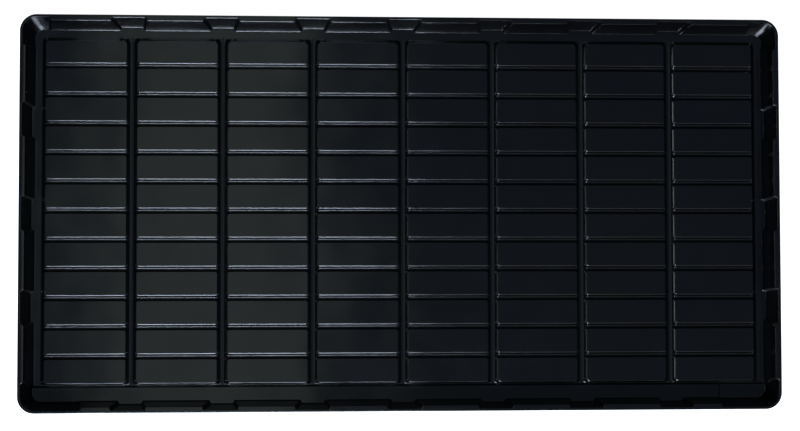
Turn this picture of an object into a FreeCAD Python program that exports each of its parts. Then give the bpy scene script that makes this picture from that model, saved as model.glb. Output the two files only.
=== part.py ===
import FreeCAD
import Part
import os

from FreeCAD import Vector
from math import cos, radians, sin, tan

# A shallow one-piece nursery tray with a channelled floor, in millimetres.
# The origin is on the face it stands on, under its middle: +X runs along the
# tray, +Y towards its back and +Z up. The moulding is one sheet of plastic,
# and each region of that sheet is a node that meets its neighbours face to face.

SHEET = 0.8                   # thickness of the moulded sheet

# Rim: a flat flange with a turned-down lip
LENGTH = 540.0                # over the lip
WIDTH = 280.0
HEIGHT = 26.0                 # top of the rim above the bench
LIP_BOTTOM = 20.0             # height of the lip's free edge
LIP_FLARE = 0.2               # how far the lip spreads below the rim
RIM_CORNER = 12.0             # corner radius of the lip's free edge
RIM_BEND = 0.5                # rounding between rim and lip

# Wall: its inner face curves up from the floor, then leans out a little
FOOT_INSET = 8.1              # from the lip's edge in to where the floor ends
FOOT_BEND = 1.2               # inner radius of the bend from floor to wall
BEND_STEPS = 4                # flat facets that stand for that bend
WALL_TILT = radians(5.46)     # lean from the vertical
CORNER_AT_FOOT = 6.2          # inner corner radius where the floor ends

# Flutes: short lengths of wall set back by FLUTE_DEPTH, as stiffeners
FLUTE_DEPTH = 2.3
FLUTE_RAMP = 1.2              # length of the slanted step, seen from above
FLUTE_HALF_AT_FOOT = 8.35     # half length of a flute at the floor
FLUTE_HALF_AT_RIM = 12.0      # half length of a flute at the rim
SHORT_SIDE_HALF_AT_FOOT = 10.8   # the short sides' flutes are longer at the floor
FLUTE_GROWTH = FLUTE_HALF_AT_RIM - FLUTE_HALF_AT_FOOT
SHORT_SIDE_GROWTH = FLUTE_HALF_AT_RIM - SHORT_SIDE_HALF_AT_FOOT
SPREAD_SHARE = 0.6            # how much a flute widens per thickness of sheet
SHORT_SIDE_FLUTES = (-66.0, 0.0, 66.0)
CORNER_FLUTE = 21.5           # each corner is set back too, this far from the end
FRONT_CORNER_FLUTE = 43.6     # and further along the front side
CORNER_DEPTH_AT_FOOT = 0.5    # a corner's set-back fades towards the floor

# Floor: eight raised beds, each crossed by grooves into twelve pads
BEDS = 8
BED_PITCH = 64.6
CHANNEL_AT_TOP = 7.0          # gap between the tops of neighbouring beds
BED_TOP = 3.4                 # height of the pads' top face
BED_SLOPE = 2.2               # run of a bed's sloping side
BED_FRONT_SLOPE = 1.0         # its front side is steeper, with the ledge close by
BED_BACK = 124.4              # back and front edge of the beds' top face
BED_FRONT = -120.1
BED_CORNER = 2.0              # corner radius of a bed's top face
PADS = 12
PAD_PITCH = 20.75
MIDDLE_GROOVE = 2.65          # y of the sixth groove
GROOVE_TOP = 3.9              # width of a groove at the pads' top face
GROOVE_BOTTOM = 0.9
GROOVE_DEPTH = 1.5

# Raised ledge along the front wall, with a lower corner pad beyond its right end
LEDGE_GAP = 2.4               # front channel, from the beds' top to the ledge's top
LEDGE_SLOPE = 0.5
LEDGE_END = 229.6             # x of the step down from ledge to corner pad
CORNER_PAD_TOP = 2.2

# Where the moulding is divided into nodes
CORNER_CUT_X = 255.0
CORNER_CUT_Y = 125.5

OVERSIZE = 400.0              # reach of the boxes that divide the sheet

HALF_X = LENGTH / 2
HALF_Y = WIDTH / 2
BED_WIDTH = BED_PITCH - CHANNEL_AT_TOP
BED_MIDDLES = [(i - (BEDS - 1) / 2) * BED_PITCH for i in range(BEDS)]
CHANNEL_MIDDLES = [(i - (BEDS - 2) / 2) * BED_PITCH for i in range(BEDS - 1)]
GROOVES = [MIDDLE_GROOVE + (i - (PADS - 2) / 2) * PAD_PITCH for i in range(PADS - 1)]
LEDGE_BACK = BED_FRONT - LEDGE_GAP


def box(x, y, z):
    """A box from three (low, high) pairs."""
    corner = Vector(x[0], y[0], z[0])
    return Part.makeBox(x[1] - x[0], y[1] - y[0], z[1] - z[0], corner)


def rounded_outline(half_x, half_y, radius, z, middle=(0.0, 0.0)):
    """Edges of a rounded rectangle at height z, counter-clockwise."""
    edges = []
    for side in range(4):
        edges.extend(outline_side(side, half_x, half_y, radius, z, [], middle))
    return edges


def outline_side(side, half_x, half_y, radius, z, points, middle=(0.0, 0.0)):
    """One side of an outline with the corner arc that ends it.

    Sides are front, right, back and left. Each has its own frame: s runs
    counter-clockwise along the side, and d is how far a point lies inside it.
    points are (s, d) pairs between the side's two corner arcs.
    """
    along = (Vector(1, 0, 0), Vector(0, 1, 0), Vector(-1, 0, 0), Vector(0, -1, 0))[side]
    outward = (Vector(0, -1, 0), Vector(1, 0, 0), Vector(0, 1, 0), Vector(-1, 0, 0))[side]
    reach = half_x if side in (0, 2) else half_y
    stand = half_y if side in (0, 2) else half_x
    centre = Vector(middle[0], middle[1], z)

    def place(s, d):
        return centre + along * s + outward * (stand - d)

    bend = reach - radius
    route = [(-bend, 0.0)] + list(points) + [(bend, 0.0)]
    corners = [place(s, d) for s, d in route]
    edges = [Part.makeLine(a, b) for a, b in zip(corners, corners[1:])]
    hub = centre + along * bend + outward * (stand - radius)
    half_way = hub + (along + outward) * (radius * 0.5 ** 0.5)
    arc = Part.Arc(corners[-1], half_way, hub + along * radius)
    edges.append(arc.toShape())
    return edges


def stacked_solid(outlines):
    """The solid whose sides are ruled from each outline's edges to the next one's."""
    faces = []
    for low, high in zip(outlines, outlines[1:]):
        faces.extend(Part.makeRuledSurface(a, b) for a, b in zip(low, high))
    faces.extend(Part.Face(Part.Wire(edges)) for edges in (outlines[0], outlines[-1]))
    shell = Part.makeShell(faces)
    shell.sewShape()
    solid = Part.makeSolid(Part.makeShell(shell.Faces))
    if solid.Volume < 0:
        solid.reverse()
    return solid


def rounded_block(size_low, size_high, z, middle=(0.0, 0.0)):
    """A block from one (half_x, half_y, radius) at z[0] to another at z[1]."""
    low = rounded_outline(*size_low, z[0], middle)
    high = rounded_outline(*size_high, z[1], middle)
    return stacked_solid([low, high])


def flute_points(middles, half, starts, set_back):
    """Route of one side, from a corner that is set back by set_back to the next one."""
    ramp = FLUTE_RAMP / 2
    flute = set_back - FLUTE_DEPTH
    points = [(starts[0] - ramp, 0.0), (starts[0] + ramp, set_back)]
    for middle in middles:
        points.append((middle - half - ramp, set_back))
        points.append((middle - half + ramp, flute))
        points.append((middle + half - ramp, flute))
        points.append((middle + half + ramp, set_back))
    points.append((starts[1] - ramp, set_back))
    points.append((starts[1] + ramp, 0.0))
    return points


def wall_outline(z, lean, spread):
    """The wall's fluted outline at height z.

    lean is how far it stands out from where the floor ends, and spread is how
    much of that is the thickness of the sheet, which also widens the flutes.
    """
    rise = (z - SHEET) / (HEIGHT - SHEET)
    set_back = FLUTE_DEPTH * rise + CORNER_DEPTH_AT_FOOT * (1 - rise)
    half_x = HALF_X - FOOT_INSET + set_back + lean
    half_y = HALF_Y - FOOT_INSET + set_back + lean
    widening = SPREAD_SHARE * spread
    half = FLUTE_HALF_AT_FOOT + FLUTE_GROWTH * rise + widening
    short_half = SHORT_SIDE_HALF_AT_FOOT + SHORT_SIDE_GROWTH * rise + widening
    shift = FLUTE_GROWTH * (1 - rise) - widening
    long_start = HALF_X - CORNER_FLUTE + shift
    front_start = HALF_X - FRONT_CORNER_FLUTE + shift
    short_start = HALF_Y - CORNER_FLUTE + shift
    sides = (
        (CHANNEL_MIDDLES, half, front_start),
        (SHORT_SIDE_FLUTES, short_half, short_start),
        (CHANNEL_MIDDLES, half, long_start),
        (SHORT_SIDE_FLUTES, short_half, short_start),
    )
    radius = CORNER_AT_FOOT + lean
    edges = []
    for side, (middles, half_length, start) in enumerate(sides):
        points = flute_points(middles, half_length, (-start, start), set_back)
        edges.extend(outline_side(side, half_x, half_y, radius, z, points))
    return edges


def wall_skin(thickness, top):
    """The space inside the wall's face that lies thickness outside its inner face."""
    radius = FOOT_BEND + thickness
    turn = radians(90) - WALL_TILT
    outlines = []
    for number in range(BEND_STEPS + 1):
        angle = turn * number / BEND_STEPS
        z = SHEET + FOOT_BEND - radius * cos(angle)
        lean = radius * sin(angle)
        outlines.append(wall_outline(z, lean, thickness * sin(angle)))
    lean += (top - z) * tan(WALL_TILT)
    outlines.append(wall_outline(top, lean, thickness))
    return outlines


def inner_space():
    """Everything inside the wall, down to the underside of the floor."""
    floor_edge = wall_outline(0.0, 0.0, 0.0)
    return stacked_solid([floor_edge] + wall_skin(0.0, HEIGHT))


def outer_space():
    """Everything inside the wall's outer face, up to the rim's underside."""
    return stacked_solid(wall_skin(SHEET, HEIGHT - SHEET))


def groove_bar(y, width_low, width_high, z, x_middle, half_length):
    """A bar along X with sloping sides, the shape of one groove."""
    start = x_middle - half_length
    corners = [
        Vector(start, y - width_low / 2, z[0]),
        Vector(start, y + width_low / 2, z[0]),
        Vector(start, y + width_high / 2, z[1]),
        Vector(start, y - width_high / 2, z[1]),
    ]
    face = Part.Face(Part.makePolygon(corners + corners[:1]))
    return face.extrude(Vector(2 * half_length, 0, 0))


def bed_outline(x_middle, z, depth=0.0, level=None):
    """A bed's outline at height z, on a surface depth inside its skin.

    level, where given, is the height at which that outline is drawn instead.
    """
    spreads = []
    for run in (BED_SLOPE, BED_FRONT_SLOPE):
        slope = run / (BED_TOP - SHEET)
        sheet = depth * (1 + slope * slope) ** 0.5
        spreads.append(slope * (BED_TOP - z) - sheet)
    side, front = spreads
    back = BED_BACK + side
    front = BED_FRONT - front
    middle = (x_middle, (back + front) / 2)
    half_x = BED_WIDTH / 2 + side
    drawn = z if level is None else level
    return rounded_outline(half_x, (back - front) / 2, BED_CORNER + side, drawn, middle)


def bed_foot(x_middle):
    """The block that a bed's foot takes out of the channel sheet."""
    return stacked_solid([bed_outline(x_middle, SHEET, level=z) for z in (0.0, SHEET)])


def make_bed(x_middle):
    """A raised bed: a thin shell, open below, with its grooves pressed into the top."""
    top_part = stacked_solid([bed_outline(x_middle, z) for z in (SHEET, BED_TOP)])
    hollow_z = (0.0, BED_TOP - SHEET)
    hollow = stacked_solid([bed_outline(x_middle, z, SHEET) for z in hollow_z])
    bend = 2 * SHEET * 0.41
    groove_z = (BED_TOP - GROOVE_DEPTH, BED_TOP)
    under_z = (groove_z[0] - SHEET, groove_z[1] - SHEET)
    for y in GROOVES:
        cut = groove_bar(y, GROOVE_BOTTOM, GROOVE_TOP, groove_z, x_middle, BED_WIDTH)
        rib = groove_bar(
            y, GROOVE_BOTTOM + bend, GROOVE_TOP + bend, under_z, x_middle, BED_WIDTH
        )
        top_part = top_part.cut(cut)
        hollow = hollow.cut(rib)
    return top_part.fuse(bed_foot(x_middle)).cut(hollow).removeSplitter()


def ledge_block(top, back):
    """The space of the raised front ledge, from its back edge out past the front wall."""
    corners = [
        Vector(-OVERSIZE, -OVERSIZE, 0.0),
        Vector(-OVERSIZE, back + LEDGE_SLOPE, 0.0),
        Vector(-OVERSIZE, back, top),
        Vector(-OVERSIZE, -OVERSIZE, top),
    ]
    face = Part.Face(Part.makePolygon(corners + corners[:1]))
    return face.extrude(Vector(2 * OVERSIZE, 0, 0))


def front_space(depth):
    """The space of ledge and corner pad together, depth inside their upper skin."""
    reach = (-OVERSIZE, OVERSIZE)
    above_pad = box((LEDGE_END - depth, OVERSIZE), reach, (CORNER_PAD_TOP - depth, HEIGHT))
    return ledge_block(BED_TOP - depth, LEDGE_BACK - depth).cut(above_pad)


def front_strip():
    """The raised ledge and corner pad, as one shell open below."""
    return front_space(0.0).cut(front_space(SHEET)).common(inner_space())


def make_walls():
    """The fluted wall all round, from the floor's underside to the rim's underside."""
    return outer_space().cut(inner_space()).cut(front_space(SHEET))


def make_rim():
    """The flat rim and its turned-down lip, all round."""
    lip = (HALF_X, HALF_Y, RIM_CORNER)
    crown = tuple(value - LIP_FLARE for value in lip)
    outside = rounded_block(lip, crown, (LIP_BOTTOM, HEIGHT))
    top_edges = [e for e in outside.Edges if e.BoundBox.ZMin > HEIGHT - 0.01]
    outside = outside.makeFillet(RIM_BEND, top_edges)
    inside = rounded_block(
        tuple(value - SHEET for value in lip),
        tuple(value - SHEET for value in crown),
        (LIP_BOTTOM, HEIGHT - SHEET),
    )
    upper_space = stacked_solid(wall_skin(0.0, HEIGHT)[-2:])
    return outside.cut(inside).cut(upper_space)


def make_channel_sheet():
    """The flat sheet at the bottom of the channels, with the beds and ledge left out."""
    edges = [wall_outline(z, 0.0, 0.0) for z in (0.0, SHEET)]
    sheet = stacked_solid(edges)
    for x_middle in BED_MIDDLES:
        sheet = sheet.cut(bed_foot(x_middle))
    return sheet.cut(ledge_block(SHEET, ledge_back_at_sheet()))


def ledge_back_at_sheet():
    """The ledge's back edge at the top of the channel sheet."""
    return LEDGE_BACK + LEDGE_SLOPE * (1 - SHEET / BED_TOP)


def save(name, shape):
    """Writes one node, after checking that it is one sound solid."""
    if len(shape.Solids) != 1 or not shape.isValid():
        raise ValueError(f"{name} has {len(shape.Solids)} solids, valid {shape.isValid()}")
    shape.Solids[0].exportStep(f"parts/{name}.step")


def save_floor():
    """Beds, the channels between and around them, and the raised front strip."""
    for number, x_middle in enumerate(BED_MIDDLES, start=1):
        save(f"bed_{number}", make_bed(x_middle))

    sheet = make_channel_sheet()
    back = BED_BACK + BED_SLOPE
    front = BED_FRONT - BED_FRONT_SLOPE
    side = BED_MIDDLES[-1] + BED_WIDTH / 2 + BED_SLOPE
    reach = (-OVERSIZE, OVERSIZE)
    levels = (-1.0, SHEET + 1.0)
    save("channel_back", sheet.common(box(reach, (back, OVERSIZE), levels)))
    save("channel_front", sheet.common(box(reach, (-OVERSIZE, front), levels)))
    between = (front, back)
    save("channel_left", sheet.common(box((-OVERSIZE, -side), between, levels)))
    save("channel_right", sheet.common(box((side, OVERSIZE), between, levels)))
    for number, x in enumerate(CHANNEL_MIDDLES, start=1):
        strip = (x - BED_PITCH / 2, x + BED_PITCH / 2)
        save(f"channel_{number}", sheet.common(box(strip, between, levels)))

    strip = front_strip()
    tall = (-1.0, HEIGHT)
    save("front_ledge", strip.common(box((-OVERSIZE, LEDGE_END), reach, tall)))
    save("corner_pad", strip.common(box((LEDGE_END, OVERSIZE), reach, tall)))


def save_ring(prefix, ring):
    """Divides a ring into four sides and four corners."""
    x_mid = (-CORNER_CUT_X, CORNER_CUT_X)
    y_mid = (-CORNER_CUT_Y, CORNER_CUT_Y)
    x_ends = {"left": (-OVERSIZE, -CORNER_CUT_X), "right": (CORNER_CUT_X, OVERSIZE)}
    y_ends = {"front": (-OVERSIZE, -CORNER_CUT_Y), "back": (CORNER_CUT_Y, OVERSIZE)}
    tall = (-1.0, HEIGHT + 1.0)
    for x_name, x_range in x_ends.items():
        save(f"{prefix}_{x_name}", ring.common(box(x_range, y_mid, tall)))
        for y_name, y_range in y_ends.items():
            corner = ring.common(box(x_range, y_range, tall))
            save(f"{prefix}_corner_{y_name}_{x_name}", corner)
    for y_name, y_range in y_ends.items():
        save(f"{prefix}_{y_name}", ring.common(box(x_mid, y_range, tall)))


os.makedirs("parts", exist_ok=True)
save_floor()
save_ring("wall", make_walls())
save_ring("rim", make_rim())
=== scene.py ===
import math

import bpy
import numpy as np
from mathutils import Matrix, Vector


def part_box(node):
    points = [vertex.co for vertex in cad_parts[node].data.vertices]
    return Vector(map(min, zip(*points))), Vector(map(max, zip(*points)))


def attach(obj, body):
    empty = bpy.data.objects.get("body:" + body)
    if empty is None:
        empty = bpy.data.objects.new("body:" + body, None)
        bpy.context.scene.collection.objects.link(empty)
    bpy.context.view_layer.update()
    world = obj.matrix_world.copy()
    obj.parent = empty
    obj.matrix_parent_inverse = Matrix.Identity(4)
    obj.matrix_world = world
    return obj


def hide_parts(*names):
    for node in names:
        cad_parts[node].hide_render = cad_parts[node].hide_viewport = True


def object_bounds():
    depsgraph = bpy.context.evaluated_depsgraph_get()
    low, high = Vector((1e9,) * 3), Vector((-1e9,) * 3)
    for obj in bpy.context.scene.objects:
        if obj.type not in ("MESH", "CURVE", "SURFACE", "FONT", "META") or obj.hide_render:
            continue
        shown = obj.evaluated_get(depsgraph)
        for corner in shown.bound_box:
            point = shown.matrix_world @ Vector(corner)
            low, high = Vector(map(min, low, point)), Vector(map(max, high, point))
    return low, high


# A one-piece moulded nursery tray. Every piece is a region of one thin sheet: its upper
# skin is a grid of points, and moulded_sheet() closes it to the sheet's thickness.
# Lengths are in metres, in the CAD frame.

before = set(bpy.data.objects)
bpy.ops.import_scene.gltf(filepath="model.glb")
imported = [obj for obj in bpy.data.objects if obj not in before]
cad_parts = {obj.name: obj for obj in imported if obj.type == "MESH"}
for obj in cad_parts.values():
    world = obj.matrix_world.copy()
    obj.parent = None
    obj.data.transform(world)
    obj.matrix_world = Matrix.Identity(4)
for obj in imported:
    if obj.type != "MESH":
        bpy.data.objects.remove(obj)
cad_low, cad_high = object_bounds()
MM = 0.001

# ---- Sizes read from the frame
HALF_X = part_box("rim_corner_back_right")[1].x
HALF_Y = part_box("rim_corner_back_right")[1].y
RIM_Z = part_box("rim_back")[1].z
LIP_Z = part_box("rim_back")[0].z
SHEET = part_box("channel_back")[1].z
BED_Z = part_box("bed_1")[1].z
PAD_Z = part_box("corner_pad")[1].z
CUT_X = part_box("wall_back")[1].x
CUT_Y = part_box("wall_left")[1].y
LEDGE_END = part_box("front_ledge")[1].x
BEDS = 8
BED_BOXES = [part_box(f"bed_{number}") for number in range(1, BEDS + 1)]
CHANNEL_MIDDLES = [(a[1].x + b[0].x) / 2 for a, b in zip(BED_BOXES, BED_BOXES[1:])]

# ---- The shape of the moulding, which the frame's boxes don't give
BED_SLOPE = 2.2 * MM            # run of a bed's side, from its top edge to its foot
BED_FRONT_SLOPE = 1.0 * MM      # its front side is steeper
BED_CORNER = 2.2 * MM
OUTER_BEND = 0.85 * MM          # radius of the sheet's raised edges
INNER_BEND = 0.7 * MM           # radius at the foot of a step
CHANNEL_BEND = 1.2 * MM         # the same between a bed and its channels
CHANNEL_DIP = 0.1 * MM          # hollow along the middle of the channels between beds
GROOVE_INNER_BEND = 0.3 * MM
PADS = 12
PAD_PITCH = 20.75 * MM
MIDDLE_GROOVE = 2.65 * MM       # y of the sixth groove
GROOVE_TOP = 3.9 * MM
GROOVE_DEPTH = 1.5 * MM
GROOVE_SLOPE = 1.5 * MM
PAD_CORNER = 2.0 * MM
PAD_OVERHANG = 0.5 * MM         # a pad's outline reaches this far past its bed's top edge
LEDGE_BACK = -122.5 * MM        # back edge of the ledge's top
LEDGE_SLOPE = 0.5 * MM
PAD_STEP_RUN = 0.3 * MM         # the step down from the ledge to the corner pad
PAD_STEP_FOOT = 0.25 * MM       # from the foot of that step to its CAD face
FOOT_INSET = 8.1 * MM
FOOT_BEND = 0.6 * MM
WALL_TILT = math.radians(6.7)
CORNER_AT_FOOT = 6.2 * MM
FLUTE_DEPTH = 2.3 * MM
FLUTE_RAMP = 1.2 * MM
FLUTE_HALF_AT_FOOT = 8.35 * MM  # half length of a flute on the long sides
SHORT_SIDE_HALF_AT_FOOT = 10.8 * MM
FLUTE_GROWTH = 3.65 * MM        # how much longer that half is at the rim, on a long side
FLUTE_HALF_AT_RIM = FLUTE_HALF_AT_FOOT + FLUTE_GROWTH
FLUTE_SOFTENING = 0.5 * MM      # how far the rounding of a flute's edges reaches
CORNER_FLUTE = 21.5 * MM        # each corner is set back too, this far from the end
FRONT_CORNER_FLUTE = 43.6 * MM  # and further along the front side
CORNER_DEPTH_AT_FOOT = 0.5 * MM # a corner's set-back fades towards the floor
SHORT_SIDE_FLUTES = (-66 * MM, 0.0, 66 * MM)
RIM_EDGE = 0.5 * MM             # radius where the wall turns into the rim
RIM_BEND = 0.5 * MM             # radius where the rim turns down into the lip
LIP_FLARE = 0.2 * MM

# ---- How finely the grids follow it
ARC_STEPS = 4                   # facets in each rounding of the floor
SUPPORT = 0.25 * MM             # flat margin that keeps a rounding's shading to itself
CORNER_LINES = 4                # grid lines across a rounded corner in plan
PAD_CORNER_SHARE = 0.6          # how much of a pad's corner the grid lines follow
CHANNEL_POINTS = 9
FLUTE_BEND_POINTS = 6
CORNER_POINTS = 13
FOOT_POINTS = 9
FOOT_GATHERING = 1.4            # draws the points of the foot's bend towards the floor
WALL_POINTS = 4
RIM_EDGE_POINTS = 6
RIM_BEND_POINTS = 7
SHARP_ANGLE = math.radians(50)  # edges above this stay sharp
TINY = 1e-6                     # keeps comparisons clear of rounding
PLACE_DECIMALS = 7


# ---- Mesh building

def moulded_sheet(name, skin, nodes=()):
    """A closed sheet whose upper skin is a grid of points, standing for CAD nodes."""
    rows, columns = skin.shape[:2]
    index = np.arange(rows * columns).reshape(rows, columns)
    upper = quads(index)
    top = bpy.data.meshes.new(name)
    top.from_pydata(skin.reshape(-1, 3).tolist(), [], upper.tolist())
    normals = np.zeros(rows * columns * 3)
    top.vertex_normals.foreach_get("vector", normals)
    bpy.data.meshes.remove(top)
    upper_points = skin.reshape(-1, 3)
    lower_points = upper_points - normals.reshape(-1, 3) * SHEET
    lower_points[:, 2] = np.maximum(lower_points[:, 2], 0.0)

    under = index + rows * columns
    ring = np.concatenate([
        index[:-1, 0], index[-1, :-1], index[:0:-1, -1], index[0, :0:-1]
    ])
    following = np.roll(ring, -1)
    offset = rows * columns
    border = np.stack([following, ring, ring + offset, following + offset], axis=1)
    faces = np.concatenate([upper, quads(under)[:, ::-1], border])

    mesh = bpy.data.meshes.new(name)
    points = np.concatenate([upper_points, lower_points])
    mesh.from_pydata(points.tolist(), [], faces.tolist())
    mesh.shade_smooth()
    mesh.set_sharp_from_angle(angle=SHARP_ANGLE)
    mesh.materials.append(PLASTIC)
    piece = bpy.data.objects.new(name, mesh)
    bpy.context.scene.collection.objects.link(piece)
    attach(piece, "root")
    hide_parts(*(nodes or (name,)))
    return piece


def quads(index):
    """Faces between neighbouring rows and columns of a grid of point numbers."""
    corners = (index[:-1, :-1], index[1:, :-1], index[1:, 1:], index[:-1, 1:])
    return np.stack([c.ravel() for c in corners], axis=1)


def floor_skin(xs, ys, height):
    """A grid over xs and ys, with rows along X, at the heights that height() gives."""
    x, y = np.meshgrid(xs, ys, indexing="ij")
    return np.stack([x, y, height(x, y)], axis=2)


# ---- Rounded steps: the section of every raised edge in the floor

def step_curve(height, run, outer, inner):
    """Distances and heights down a step whose sharp slope would start at distance 0."""
    slope = math.atan2(height, run)
    angles = np.linspace(0, slope, ARC_STEPS + 1)
    top_start = -outer * math.tan(slope / 2)
    foot_end = run + inner * math.tan(slope / 2)
    top = top_start + outer * np.sin(angles)
    top_heights = height - outer * (1 - np.cos(angles))
    foot = foot_end - inner * np.sin(angles[::-1])
    foot_heights = inner * (1 - np.cos(angles[::-1]))
    return np.concatenate([top, foot]), np.concatenate([top_heights, foot_heights])


BED_RISE = BED_Z - SHEET
BED_STEP = step_curve(BED_RISE, BED_SLOPE, OUTER_BEND, CHANNEL_BEND)
GROOVE_STEP = step_curve(GROOVE_DEPTH, GROOVE_SLOPE, OUTER_BEND, GROOVE_INNER_BEND)
LEDGE_STEP = step_curve(BED_RISE, LEDGE_SLOPE, OUTER_BEND, INNER_BEND)
PAD_STEP = step_curve(BED_Z - PAD_Z, PAD_STEP_RUN, OUTER_BEND / 2, INNER_BEND / 2)


def lines_across(step, corner=0.0):
    """Distances at which a grid needs a line, to follow a step and its plan corner."""
    distances = step[0]
    inside = distances[0] - SUPPORT
    lines = [inside, distances[-1] + SUPPORT / 2]
    if corner:
        lines.extend(np.arange(inside - corner, inside, corner / CORNER_LINES))
    return np.sort(np.concatenate([distances, lines]))


def rounded_distance(x, y, half_x, half_y, radius):
    """Distance outside a rounded rectangle about the origin, negative inside."""
    dx = np.abs(x) - (half_x - radius)
    dy = np.abs(y) - (half_y - radius)
    outside = np.hypot(np.maximum(dx, 0), np.maximum(dy, 0))
    return outside + np.minimum(np.maximum(dx, dy), 0) - radius


# ---- Beds

GROOVES = [MIDDLE_GROOVE + (i - (PADS - 2) / 2) * PAD_PITCH for i in range(PADS - 1)]
BED_HALF_X = (BED_BOXES[0][1].x - BED_BOXES[0][0].x) / 2 - BED_SLOPE
BED_FRONT = BED_BOXES[0][0].y + BED_FRONT_SLOPE
BED_BACK = BED_BOXES[0][1].y - BED_SLOPE
BED_MARGIN = BED_STEP[0][-1] + SUPPORT / 2
FRONT_SHARE = BED_FRONT_SLOPE / BED_SLOPE
PAD_EDGES = (
    [BED_FRONT - PAD_OVERHANG]
    + [y + side * GROOVE_TOP / 2 for y in GROOVES for side in (-1, 1)]
    + [BED_BACK + PAD_OVERHANG]
)


def bed_height(x, y):
    """Height of a bed about x = 0: a rounded block with its grooves pressed in."""
    middle_y = (BED_FRONT + BED_BACK) / 2
    half_y = (BED_BACK - BED_FRONT) / 2
    outside = rounded_distance(x, y - middle_y, BED_HALF_X, half_y, BED_CORNER)
    rise = np.interp(outside, *BED_STEP)
    pad_distance = np.full(x.shape, np.inf)
    for low, high in zip(PAD_EDGES[::2], PAD_EDGES[1::2]):
        pad = rounded_distance(
            x, y - (low + high) / 2,
            BED_HALF_X + PAD_OVERHANG, (high - low) / 2, PAD_CORNER,
        )
        pad_distance = np.minimum(pad_distance, pad)
    pressed = 1 - np.interp(pad_distance, *GROOVE_STEP) / GROOVE_DEPTH
    return SHEET + rise * (1 - pressed * GROOVE_DEPTH / BED_RISE)


def make_beds():
    """Eight beds, each on its own grid with lines where its edges bend."""
    across = lines_across(BED_STEP, BED_CORNER)
    xs = np.concatenate([-BED_HALF_X - across[::-1], BED_HALF_X + across])
    ys = [BED_FRONT - across[::-1], BED_BACK + across]
    groove_lines = lines_across(GROOVE_STEP, PAD_CORNER * PAD_CORNER_SHARE)[:-1]
    for y in GROOVES:
        ys.append(y - GROOVE_TOP / 2 + groove_lines)
        ys.append(y + GROOVE_TOP / 2 - groove_lines[::-1])
    skin = floor_skin(xs, np.sort(np.concatenate(ys)), bed_height)
    beyond = np.minimum(skin[:, :, 1] - BED_FRONT, 0.0)
    skin[:, :, 1] -= beyond * (1 - FRONT_SHARE)
    for number, (low, high) in enumerate(BED_BOXES, start=1):
        middle = np.array([(low.x + high.x) / 2, 0.0, 0.0])
        moulded_sheet(f"bed_{number}", skin + middle)


# ---- The wall's outline: four sides with flutes, and four round corners

ALONG = np.array([(1, 0), (0, 1), (-1, 0), (0, -1)])
OUTWARD = np.array([(0, -1), (1, 0), (0, 1), (-1, 0)])
SIDE_NAMES = ("front", "right", "back", "left")
CORNER_NAMES = ("front_right", "back_right", "back_left", "front_left")


def placed(side, s, out):
    """A point s along a side and out beyond the middle of the tray."""
    return ALONG[side] * s + OUTWARD[side] * out


def reach(side):
    """Half the length along a side, and the distance from the middle out to it."""
    return (HALF_X, HALF_Y) if side % 2 == 0 else (HALF_Y, HALF_X)


def corner_inset(rise):
    """How far inside the flutes' line the wall stands at the corners."""
    return (FLUTE_DEPTH - CORNER_DEPTH_AT_FOOT) * (1 - rise)


def flute_edges(side, rise):
    """(s, depth) of a side's bends: set back at both ends and at each flute."""
    half_at_foot = (FLUTE_HALF_AT_FOOT, SHORT_SIDE_HALF_AT_FOOT)[side % 2]
    half = half_at_foot + (FLUTE_HALF_AT_RIM - half_at_foot) * rise
    corner = FRONT_CORNER_FLUTE if side == 0 else CORNER_FLUTE
    start = reach(side)[0] - corner + FLUTE_GROWTH * (1 - rise)
    middles = CHANNEL_MIDDLES if side % 2 == 0 else SHORT_SIDE_FLUTES
    inset = corner_inset(rise)
    edges = [(-start, inset, FLUTE_DEPTH)]
    for middle in middles:
        edges.append((middle - half, FLUTE_DEPTH, 0.0))
        edges.append((middle + half, 0.0, FLUTE_DEPTH))
    edges.append((start, FLUTE_DEPTH, inset))
    points = []
    for s, before, after in edges:
        points.append((s - FLUTE_RAMP / 2, before))
        points.append((s + FLUTE_RAMP / 2, after))
    return points


def side_line(side, rise, lean, follow=1.0):
    """Points along one side between its cuts, with each flute bend rounded.

    follow = 0 gives the straight line at the flutes' depth, with the same points.
    """
    cut = (CUT_X, CUT_Y)[side % 2]
    end = corner_inset(rise)
    corners = np.array([(-cut, end)] + flute_edges(side, rise) + [(cut, end)])
    line = [corners[0]]
    for before, corner, after in zip(corners, corners[1:], corners[2:]):
        start = corner + unit(before - corner) * FLUTE_SOFTENING
        end = corner + unit(after - corner) * FLUTE_SOFTENING
        for t in np.linspace(0, 1, FLUTE_BEND_POINTS):
            line.append((1 - t) ** 2 * start + 2 * t * (1 - t) * corner + t * t * end)
    line.append(corners[-1])
    out = reach(side)[1] - FOOT_INSET + FLUTE_DEPTH + lean
    return np.array([placed(side, s, out - depth * follow) for s, depth in line])


def unit(vector):
    """The vector at length 1."""
    return vector / np.hypot(*vector)


def corner_line(side, rise, lean, follow=1.0):
    """Points round the corner that ends a side, from its cut to the next side's cut."""
    radius = CORNER_AT_FOOT + lean
    length, out = reach(side)
    inset = FOOT_INSET - FLUTE_DEPTH + corner_inset(rise)
    hub = placed(side, length - inset - CORNER_AT_FOOT, out - inset - CORNER_AT_FOOT)
    following = (side + 1) % 4
    cuts = (CUT_X, CUT_Y) if side % 2 == 0 else (CUT_Y, CUT_X)
    points = [placed(side, cuts[0], out - inset + lean)]
    for angle in np.linspace(0, math.pi / 2, CORNER_POINTS):
        direction = OUTWARD[side] * math.cos(angle) + ALONG[side] * math.sin(angle)
        points.append(hub + direction * radius)
    points.append(placed(following, -cuts[1], length - inset + lean))
    return np.array(points)


def side_and_corner(side):
    """(name, line function) of a side and of the corner that ends it."""
    return (
        (SIDE_NAMES[side], side_line),
        (f"corner_{CORNER_NAMES[side]}", corner_line),
    )


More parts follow.
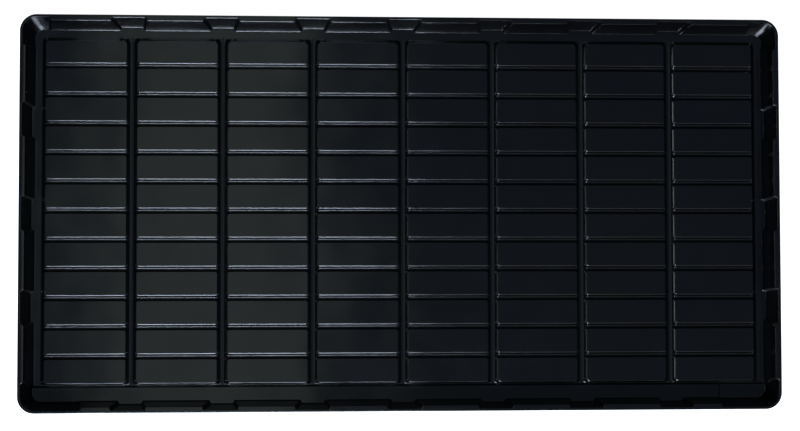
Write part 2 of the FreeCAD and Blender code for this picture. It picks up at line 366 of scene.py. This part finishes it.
def foot_loop():
    """The whole line where floor and wall meet, counter-clockwise from the front left."""
    lines = []
    for side in range(4):
        lines.append(side_line(side, 0.0, 0.0)[:-1])
        lines.append(corner_line(side, 0.0, 0.0)[:-1])
    return np.concatenate(lines)


# ---- Channels, ledge and corner pad: the floor out to the wall

BED_FIELD_X = BED_BOXES[-1][1].x - BED_SLOPE + BED_MARGIN
FIELD_FRONT = BED_FRONT - BED_MARGIN * FRONT_SHARE
FIELD_BACK = BED_BACK + BED_MARGIN
LOOP = foot_loop()
CORNER_X = HALF_X - FOOT_INSET + CORNER_DEPTH_AT_FOOT
CORNER_Y = HALF_Y - FOOT_INSET + CORNER_DEPTH_AT_FOOT
FIRST_LEDGE_ROW = LEDGE_BACK - 1.4 * MM
PAD_STEP_START = LEDGE_END - PAD_STEP_FOOT - PAD_STEP_RUN


def edge_height(x, y):
    """Height of the floor's edge zone, which the front ledge and corner pad raise."""
    rise = np.interp(y - LEDGE_BACK, *LEDGE_STEP) / BED_RISE
    drop = BED_Z - PAD_Z - np.interp(x - PAD_STEP_START, *PAD_STEP)
    return SHEET + rise * (BED_RISE - drop)


def flat_height(x, y):
    """Height of the channels, the same everywhere."""
    return np.full(x.shape, SHEET)


def loop_between(axis, sign, low, high):
    """The loop's points on one side of the tray, sorted along it, with both ends added."""
    other = 1 - axis
    corner_start = (CORNER_X, CORNER_Y)[axis] - CORNER_AT_FOOT
    part = LOOP[LOOP[:, axis] * sign > corner_start - TINY]
    part = part[np.argsort(part[:, other], kind="stable")]
    between = (part[:, other] > low + TINY) & (part[:, other] < high - TINY)
    places = np.concatenate([[low], part[between, other], [high]])
    places = np.unique(np.round(places, PLACE_DECIMALS))
    return places, np.interp(places, part[:, other], part[:, axis])


def make_channels():
    """Strips between the beds, and flat ones out to the left, right and back walls."""
    ys = np.array([FIELD_FRONT, FIELD_BACK])
    half_gap = (BED_BOXES[1][0].x - BED_BOXES[0][1].x) / 2 + BED_SLOPE - BED_MARGIN
    for number, x in enumerate(CHANNEL_MIDDLES, start=1):
        across = np.linspace(-1, 1, CHANNEL_POINTS)
        skin = floor_skin(x + across * half_gap, ys, flat_height)
        skin[:, :, 2] -= CHANNEL_DIP * (1 - across[:, None] ** 2)
        moulded_sheet(f"channel_{number}", skin)
    for name, sign in (("left", -1), ("right", 1)):
        ys, wall = loop_between(0, sign, FIELD_FRONT, FIELD_BACK)
        inner = np.stack([np.full(ys.shape, sign * BED_FIELD_X), ys], axis=1)
        outer = np.stack([wall, ys], axis=1)
        rows = (outer, inner) if sign < 0 else (inner, outer)
        moulded_sheet(f"channel_{name}", flat_rows(rows))
    end = loop_between(0, 1, FIELD_FRONT, FIELD_BACK)[1][-1]
    xs, wall = loop_between(1, 1, -end, end)
    rows = []
    for x, y in zip(xs, wall):
        rows.append([(x, FIELD_BACK, SHEET), (x, y, SHEET)])
    moulded_sheet("channel_back", np.array(rows))


def flat_rows(lines):
    """A flat skin ruled between lines of (x, y) points."""
    rows = [np.column_stack([line, np.full(len(line), SHEET)]) for line in lines]
    return np.array(rows)


def make_front_strip():
    """The raised ledge along the front wall, and the corner pad that ends it."""
    end = CORNER_X - TINY
    xs, wall = loop_between(1, -1, -end, end)
    step_xs = PAD_STEP_START + lines_across(PAD_STEP)
    columns = np.unique(np.concatenate([xs, step_xs, [LEDGE_END]]))
    wall = np.interp(columns, xs, wall)
    step_lines = LEDGE_BACK + lines_across(LEDGE_STEP)
    left_ys = LOOP[(LOOP[:, 0] < 0) & (LOOP[:, 1] < FIELD_FRONT), 1]
    left_ys = left_ys[left_ys > FIRST_LEDGE_ROW]
    ys = np.concatenate([step_lines[step_lines < FIELD_FRONT], left_ys, [FIELD_FRONT]])
    ys = np.unique(np.round(ys, PLACE_DECIMALS))
    side_ys, side_xs = loop_between(0, 1, ys[0], ys[-1])
    widths = np.interp(ys, side_ys, side_xs) / end

    rows = []
    for x, wall_y in zip(columns, wall):
        row = [(x, wall_y, edge_height(x, wall_y))]
        for y, width in zip(ys, widths):
            row.append((x * width, y, edge_height(x, y)))
        rows.append(row)
    skin = np.array(rows)
    split = int(np.argmin(np.abs(columns - LEDGE_END)))
    moulded_sheet("front_ledge", skin[:split + 1], ("front_ledge", "channel_front"))
    moulded_sheet("corner_pad", skin[split:])


# ---- Walls and rim

def wall_levels():
    """(z, lean, rise) up the wall's inner face, from the floor to just below the rim."""
    turn = math.pi / 2 - WALL_TILT
    levels = []
    for share in np.linspace(0, 1, FOOT_POINTS) ** FOOT_GATHERING:
        angle = turn * share
        z = SHEET + FOOT_BEND * (1 - math.cos(angle))
        levels.append((z, FOOT_BEND * math.sin(angle)))
    z_bend, lean_bend = levels[-1]
    for z in np.linspace(z_bend, RIM_Z - 2 * RIM_EDGE, WALL_POINTS)[1:]:
        levels.append((z, lean_bend + (z - z_bend) * math.tan(WALL_TILT)))
    return levels


def make_walls():
    """Fluted sides and round corners, curving up from whatever floor they stand on."""
    for side in range(4):
        for name, line in side_and_corner(side):
            rows = []
            for z, lean in wall_levels():
                rise = (z - SHEET) / (RIM_Z - SHEET)
                points = line(side, rise, lean)
                foot = edge_height(*line(side, 0.0, 0.0).T)
                heights = foot + (z - SHEET) * (RIM_Z - foot) / (RIM_Z - SHEET)
                rows.append(np.column_stack([points, heights]))
            moulded_sheet(f"wall_{name}", np.array(rows))


def rim_levels():
    """(z, lean, follow) from the top of the wall, over the rim and down the lip."""
    z_wall, lean_wall = wall_levels()[-1]
    levels = [(z_wall, lean_wall, 1.0)]
    z_edge = RIM_Z - RIM_EDGE
    lean_edge = lean_wall + (z_edge - z_wall) * math.tan(WALL_TILT)
    for angle in np.linspace(0, math.pi / 2, RIM_EDGE_POINTS):
        z = z_edge + RIM_EDGE * math.sin(angle)
        lean = lean_edge + RIM_EDGE * (1 - math.cos(angle))
        levels.append((z, lean, 1.0))
    lip_lean = FOOT_INSET - FLUTE_DEPTH
    flare = math.atan2(LIP_FLARE, RIM_Z - LIP_Z)
    hub = lip_lean - LIP_FLARE - RIM_BEND
    for angle in np.linspace(0, math.pi / 2 - flare, RIM_BEND_POINTS):
        z = RIM_Z - RIM_BEND * (1 - math.cos(angle))
        levels.append((z, hub + RIM_BEND * math.sin(angle), 0.0))
    levels.append((LIP_Z, lip_lean, 0.0))
    return levels


def make_rim():
    """The flat rim and its turned-down lip, on the same points as the wall below."""
    for side in range(4):
        for name, line in side_and_corner(side):
            rows = []
            for z, lean, follow in rim_levels():
                points = line(side, 1.0, lean, follow)
                rows.append(np.column_stack([points, np.full(len(points), z)]))
            moulded_sheet(f"rim_{name}", np.array(rows))


# ---- Materials

BLUE_BLACK = (0.0010, 0.0012, 0.0020, 1)
GREEN_BLACK = (0.0016, 0.0017, 0.0016, 1)
ROUGHNESS = (0.13, 0.19)
WAVE_HEIGHT = 2.8 * MM
GRAIN_HEIGHT = 0.004 * MM


def glossy_black_plastic():
    """Black moulded sheet: glossy, faintly wavy, with a fine grain and light scuffs."""
    material = bpy.data.materials.new("tray_plastic")
    material.use_nodes = True
    nodes = material.node_tree.nodes
    links = material.node_tree.links
    shader = nodes["Principled BSDF"]
    place = nodes.new("ShaderNodeTexCoord")

    def noise(scale, detail, roughness=0.5):
        node = nodes.new("ShaderNodeTexNoise")
        node.inputs["Scale"].default_value = scale
        node.inputs["Detail"].default_value = detail
        node.inputs["Roughness"].default_value = roughness
        links.new(place.outputs["Object"], node.inputs["Vector"])
        return node

    def ramp(source, low, high, low_value, high_value):
        node = nodes.new("ShaderNodeMapRange")
        node.inputs["From Min"].default_value = low
        node.inputs["From Max"].default_value = high
        node.inputs["To Min"].default_value = low_value
        node.inputs["To Max"].default_value = high_value
        links.new(source, node.inputs["Value"])
        return node.outputs["Result"]

    tint = nodes.new("ShaderNodeMix")
    tint.data_type = "RGBA"
    tint.inputs["A"].default_value = BLUE_BLACK
    tint.inputs["B"].default_value = GREEN_BLACK
    patches = noise(9, 3)
    links.new(ramp(patches.outputs["Fac"], 0.35, 0.65, 0, 1), tint.inputs["Factor"])
    links.new(tint.outputs["Result"], shader.inputs["Base Color"])

    handling = noise(26, 6, 0.65)
    links.new(ramp(handling.outputs["Fac"], 0.3, 0.7, *ROUGHNESS), shader.inputs["Roughness"])

    waves = nodes.new("ShaderNodeBump")
    waves.inputs["Distance"].default_value = WAVE_HEIGHT
    waves.inputs["Strength"].default_value = 0.6
    links.new(noise(9, 2).outputs["Fac"], waves.inputs["Height"])
    grain = nodes.new("ShaderNodeBump")
    grain.inputs["Distance"].default_value = GRAIN_HEIGHT
    grain.inputs["Strength"].default_value = 0.3
    links.new(noise(900, 2).outputs["Fac"], grain.inputs["Height"])
    links.new(waves.outputs["Normal"], grain.inputs["Normal"])
    links.new(grain.outputs["Normal"], shader.inputs["Normal"])
    shader.inputs["IOR"].default_value = 1.55
    return material


def pale_floor():
    """Matt white with a faint glow of its own, so that it stays even."""
    material = bpy.data.materials.new("floor_white")
    material.use_nodes = True
    shader = material.node_tree.nodes["Principled BSDF"]
    shader.inputs["Base Color"].default_value = (0.9, 0.9, 0.9, 1)
    shader.inputs["Roughness"].default_value = 0.9
    shader.inputs["Specular IOR Level"].default_value = 0.0
    shader.inputs["Emission Color"].default_value = (1, 1, 1, 1)
    shader.inputs["Emission Strength"].default_value = 1.0
    return material


# ---- Studio

FLOOR_GAP = 0.2 * MM            # keeps the tray's underside clear of the floor


def add_area_light(name, place, target, size, energy, colour=(1, 1, 1)):
    """A soft light at place that faces target, size[0] wide and size[1] tall."""
    data = bpy.data.lights.new(name, "AREA")
    data.shape = "RECTANGLE"
    data.size, data.size_y = size
    data.energy = energy
    data.color = colour
    light = bpy.data.objects.new(name, data)
    light.location = place
    direction = Vector(target) - Vector(place)
    light.rotation_euler = direction.to_track_quat("-Z", "Y").to_euler()
    light.visible_camera = False
    bpy.context.scene.collection.objects.link(light)


def make_studio():
    """A pale floor under a dark sky, with soft panels overhead, in front and at the left."""
    reach = 6.0
    mesh = bpy.data.meshes.new("studio_floor")
    corners = [(-reach, -reach, 0), (reach, -reach, 0), (reach, reach, 0), (-reach, reach, 0)]
    mesh.from_pydata(corners, [], [(0, 1, 2, 3)])
    mesh.materials.append(pale_floor())
    floor = bpy.data.objects.new("studio_floor", mesh)
    floor.location.z = cad_low[2] - FLOOR_GAP
    bpy.context.scene.collection.objects.link(floor)

    world = bpy.data.worlds.new("studio")
    world.use_nodes = True
    sky = world.node_tree.nodes["Background"]
    sky.inputs["Color"].default_value = (0.6, 0.75, 1.0, 1)
    sky.inputs["Strength"].default_value = 0.025
    bpy.context.scene.world = world

    middle = (0, 0, 0)
    cool = (0.58, 0.74, 1.0)
    greenish = (0.86, 1.0, 0.88)
    bluish = (0.72, 0.83, 1.0)
    add_area_light("overhead", (0.1, 0.1, 2.5), middle, (3.0, 3.0), 3.2, cool)
    add_area_light(
        "overhead_left", (-0.27, 0.1, 2.3), (-0.27, 0.1, 0), (0.42, 1.6), 0.9, greenish
    )
    add_area_light("front_light", (-0.22, -1.2, 1.6), middle, (0.6, 0.4), 52, bluish)
    add_area_light("front_right_light", (0.65, -1.2, 1.6), middle, (1.1, 0.4), 3)
    add_area_light("left_light", (-2.2, 0.1, 0.3), middle, (1.2, 0.25), 4)


def make_camera():
    """Nearly straight down on the tray, from a little left of and before its middle."""
    data = bpy.data.cameras.new("camera")
    data.lens = 84.93
    data.sensor_width = 36
    data.shift_x = -0.0603
    data.shift_y = 0.0013
    camera = bpy.data.objects.new("camera", data)
    place = Vector((-0.0619, -0.0646, 1.3588))
    view = Vector((0.06943, 0.04655, -0.9965)).normalized()
    right = Vector((0.99759, -0.00255, 0.06939))
    right = (right - view * right.dot(view)).normalized()
    up = right.cross(view)
    turn = Matrix((right, up, -view)).transposed()
    camera.matrix_world = Matrix.Translation(place) @ turn.to_4x4()
    bpy.context.scene.collection.objects.link(camera)
    bpy.context.scene.camera = camera
    bpy.context.scene.view_settings.view_transform = "Standard"


PLASTIC = glossy_black_plastic()
make_beds()
make_channels()
make_front_strip()
make_walls()
make_rim()
make_studio()
make_camera()
